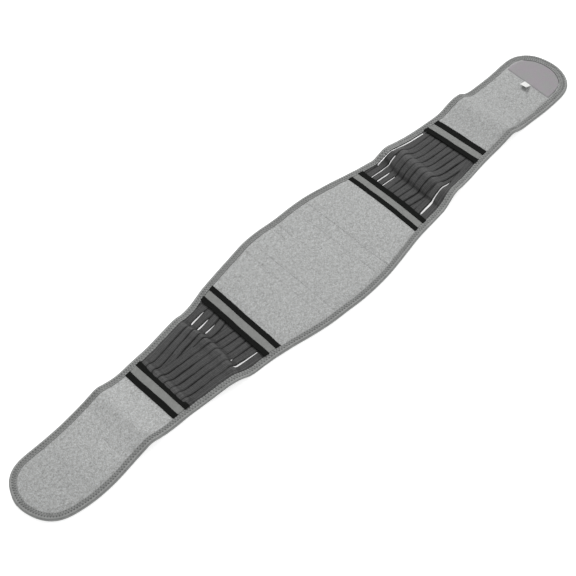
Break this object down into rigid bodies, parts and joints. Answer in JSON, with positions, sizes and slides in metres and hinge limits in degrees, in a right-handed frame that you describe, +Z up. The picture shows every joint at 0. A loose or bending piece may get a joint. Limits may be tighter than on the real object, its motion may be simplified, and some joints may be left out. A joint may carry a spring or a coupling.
{
  "type": "lumbar support belt",
  "caption": "Padded lumbar support belt with elastic side straps, flat stays, bound edges and a hook-and-loop closure, laid open with the lining up.",
  "frame": {"origin": "middle of the back section, on the plane the belt rests on", "axes": "+X along the belt towards the end with the hook patch, +Y across its height, +Z up out of the side the wearer touches"},
  "size_m": [0.992, 0.176, 0.0179],
  "materials": {
    "marl_lining": "matte",
    "loop_fabric": "matte",
    "edge_binding": "matte",
    "junction_tape": "matte",
    "black_grosgrain": "matte",
    "ribbed_elastic": "matte",
    "hook_tape": "satin",
    "tag_ribbon": "satin",
    "foam": "matte",
    "stay_plastic": "satin"
  },
  "bodies": {
    "back_centre": {"back_inner_face": "marl_lining", "back_foam_core": "foam", "back_outer_face": "loop_fabric", "back_edge_binding": "edge_binding", "back_stay_left": "stay_plastic", "back_stay_right": "stay_plastic"},
    "side_right": {"side_inner_face_right": "marl_lining", "side_foam_core_right": "foam", "side_outer_face_right": "loop_fabric", "side_edge_binding_right": "edge_binding", "inner_junction_tape_right": "junction_tape", "inner_junction_trims_right": "black_grosgrain", "inner_junction_stay_right": "stay_plastic"},
    "elastic_right": {"elastic_straps_right": "ribbed_elastic", "elastic_edge_binding_right": "edge_binding"},
    "outer_junction_right": {"outer_junction_tape_right": "junction_tape", "outer_junction_trims_right": "black_grosgrain", "outer_junction_stay_right": "stay_plastic", "outer_junction_backing_right": "junction_tape", "outer_junction_binding_right": "edge_binding"},
    "front_right": {"front_inner_face_right": "marl_lining", "front_foam_core_right": "foam", "front_outer_face_right": "loop_fabric", "front_edge_binding_right": "edge_binding"},
    "tip_right": {"tip_inner_face_right": "marl_lining", "tip_foam_core_right": "foam", "tip_outer_face_right": "loop_fabric", "tip_edge_binding_right": "edge_binding", "hook_patch": "hook_tape"},
    "side_left": {"side_inner_face_left": "marl_lining", "side_foam_core_left": "foam", "side_outer_face_left": "loop_fabric", "side_edge_binding_left": "edge_binding", "inner_junction_tape_left": "junction_tape", "inner_junction_trims_left": "black_grosgrain", "inner_junction_stay_left": "stay_plastic"},
    "elastic_left": {"elastic_straps_left": "ribbed_elastic", "elastic_edge_binding_left": "edge_binding"},
    "outer_junction_left": {"outer_junction_tape_left": "junction_tape", "outer_junction_trims_left": "black_grosgrain", "outer_junction_stay_left": "stay_plastic", "outer_junction_backing_left": "junction_tape", "outer_junction_binding_left": "edge_binding"},
    "front_left": {"front_inner_face_left": "marl_lining", "front_foam_core_left": "foam", "front_outer_face_left": "loop_fabric", "front_edge_binding_left": "edge_binding"},
    "tip_left": {"tip_inner_face_left": "marl_lining", "tip_foam_core_left": "foam", "tip_outer_face_left": "loop_fabric", "tip_edge_binding_left": "edge_binding"},
    "size_tag": {"size_tag": "tag_ribbon"}
  },
  "joints": [
    {"name": "wrap_right", "type": "hinge", "parent": "back_centre", "child": "side_right", "pos_m": [0.086, 0, 0.0064], "axis": [0, -1, 0], "range_deg": [0, 45]},
    {"name": "curl_elastic_right", "type": "hinge", "parent": "side_right", "child": "elastic_right", "pos_m": [0.158, 0, 0.0064], "axis": [0, -1, 0], "range_deg": [0, 47.5], "deforming": ["elastic_straps_right", "elastic_edge_binding_right"]},
    {"name": "stretch_right", "type": "slide", "parent": "elastic_right", "child": "outer_junction_right", "axis": [1, 0, 0], "range_m": [0, 0.05], "stiffness_N_per_m": 300, "deforming": ["elastic_straps_right", "elastic_edge_binding_right"]},
    {"name": "curl_front_right", "type": "hinge", "parent": "outer_junction_right", "child": "front_right", "pos_m": [0.296, 0, 0.0064], "axis": [0, -1, 0], "range_deg": [0, 42.5]},
    {"name": "curl_tip_right", "type": "hinge", "parent": "front_right", "child": "tip_right", "pos_m": [0.392, 0, 0.0064], "axis": [0, -1, 0], "range_deg": [0, 46.5]},
    {"name": "wrap_left", "type": "hinge", "parent": "back_centre", "child": "side_left", "pos_m": [-0.086, 0, 0.0064], "axis": [0, 1, 0], "range_deg": [0, 38.5]},
    {"name": "curl_elastic_left", "type": "hinge", "parent": "side_left", "child": "elastic_left", "pos_m": [-0.158, 0, 0.0064], "axis": [0, 1, 0], "range_deg": [0, 46], "deforming": ["elastic_straps_left", "elastic_edge_binding_left"]},
    {"name": "stretch_left", "type": "slide", "parent": "elastic_left", "child": "outer_junction_left", "axis": [-1, 0, 0], "range_m": [0, 0.05], "stiffness_N_per_m": 300, "deforming": ["elastic_straps_left", "elastic_edge_binding_left"]},
    {"name": "curl_front_left", "type": "hinge", "parent": "outer_junction_left", "child": "front_left", "pos_m": [-0.296, 0, 0.0064], "axis": [0, 1, 0], "range_deg": [0, 51]},
    {"name": "curl_tip_left", "type": "hinge", "parent": "front_left", "child": "tip_left", "pos_m": [-0.392, 0, 0.0064], "axis": [0, 1, 0], "range_deg": [0, 46]},
    {"name": "tag_flip", "type": "hinge", "parent": "tip_right", "child": "size_tag", "pos_m": [0.4395, -0.0025, 0.0062], "axis": [0, 1, 0], "range_deg": [-18, 50]}
  ],
  "couplings": [
    {"joint": "curl_elastic_right", "follows": "wrap_right", "ratio": 1.0444},
    {"joint": "curl_front_right", "follows": "wrap_right", "ratio": 0.93333},
    {"joint": "curl_tip_right", "follows": "wrap_right", "ratio": 1.0222},
    {"joint": "curl_elastic_left", "follows": "wrap_left", "ratio": 1.1818},
    {"joint": "curl_front_left", "follows": "wrap_left", "ratio": 1.3117},
    {"joint": "curl_tip_left", "follows": "wrap_left", "ratio": 1.1818},
    {"joint": "stretch_left", "follows": "stretch_right", "ratio": 1}
  ]
}
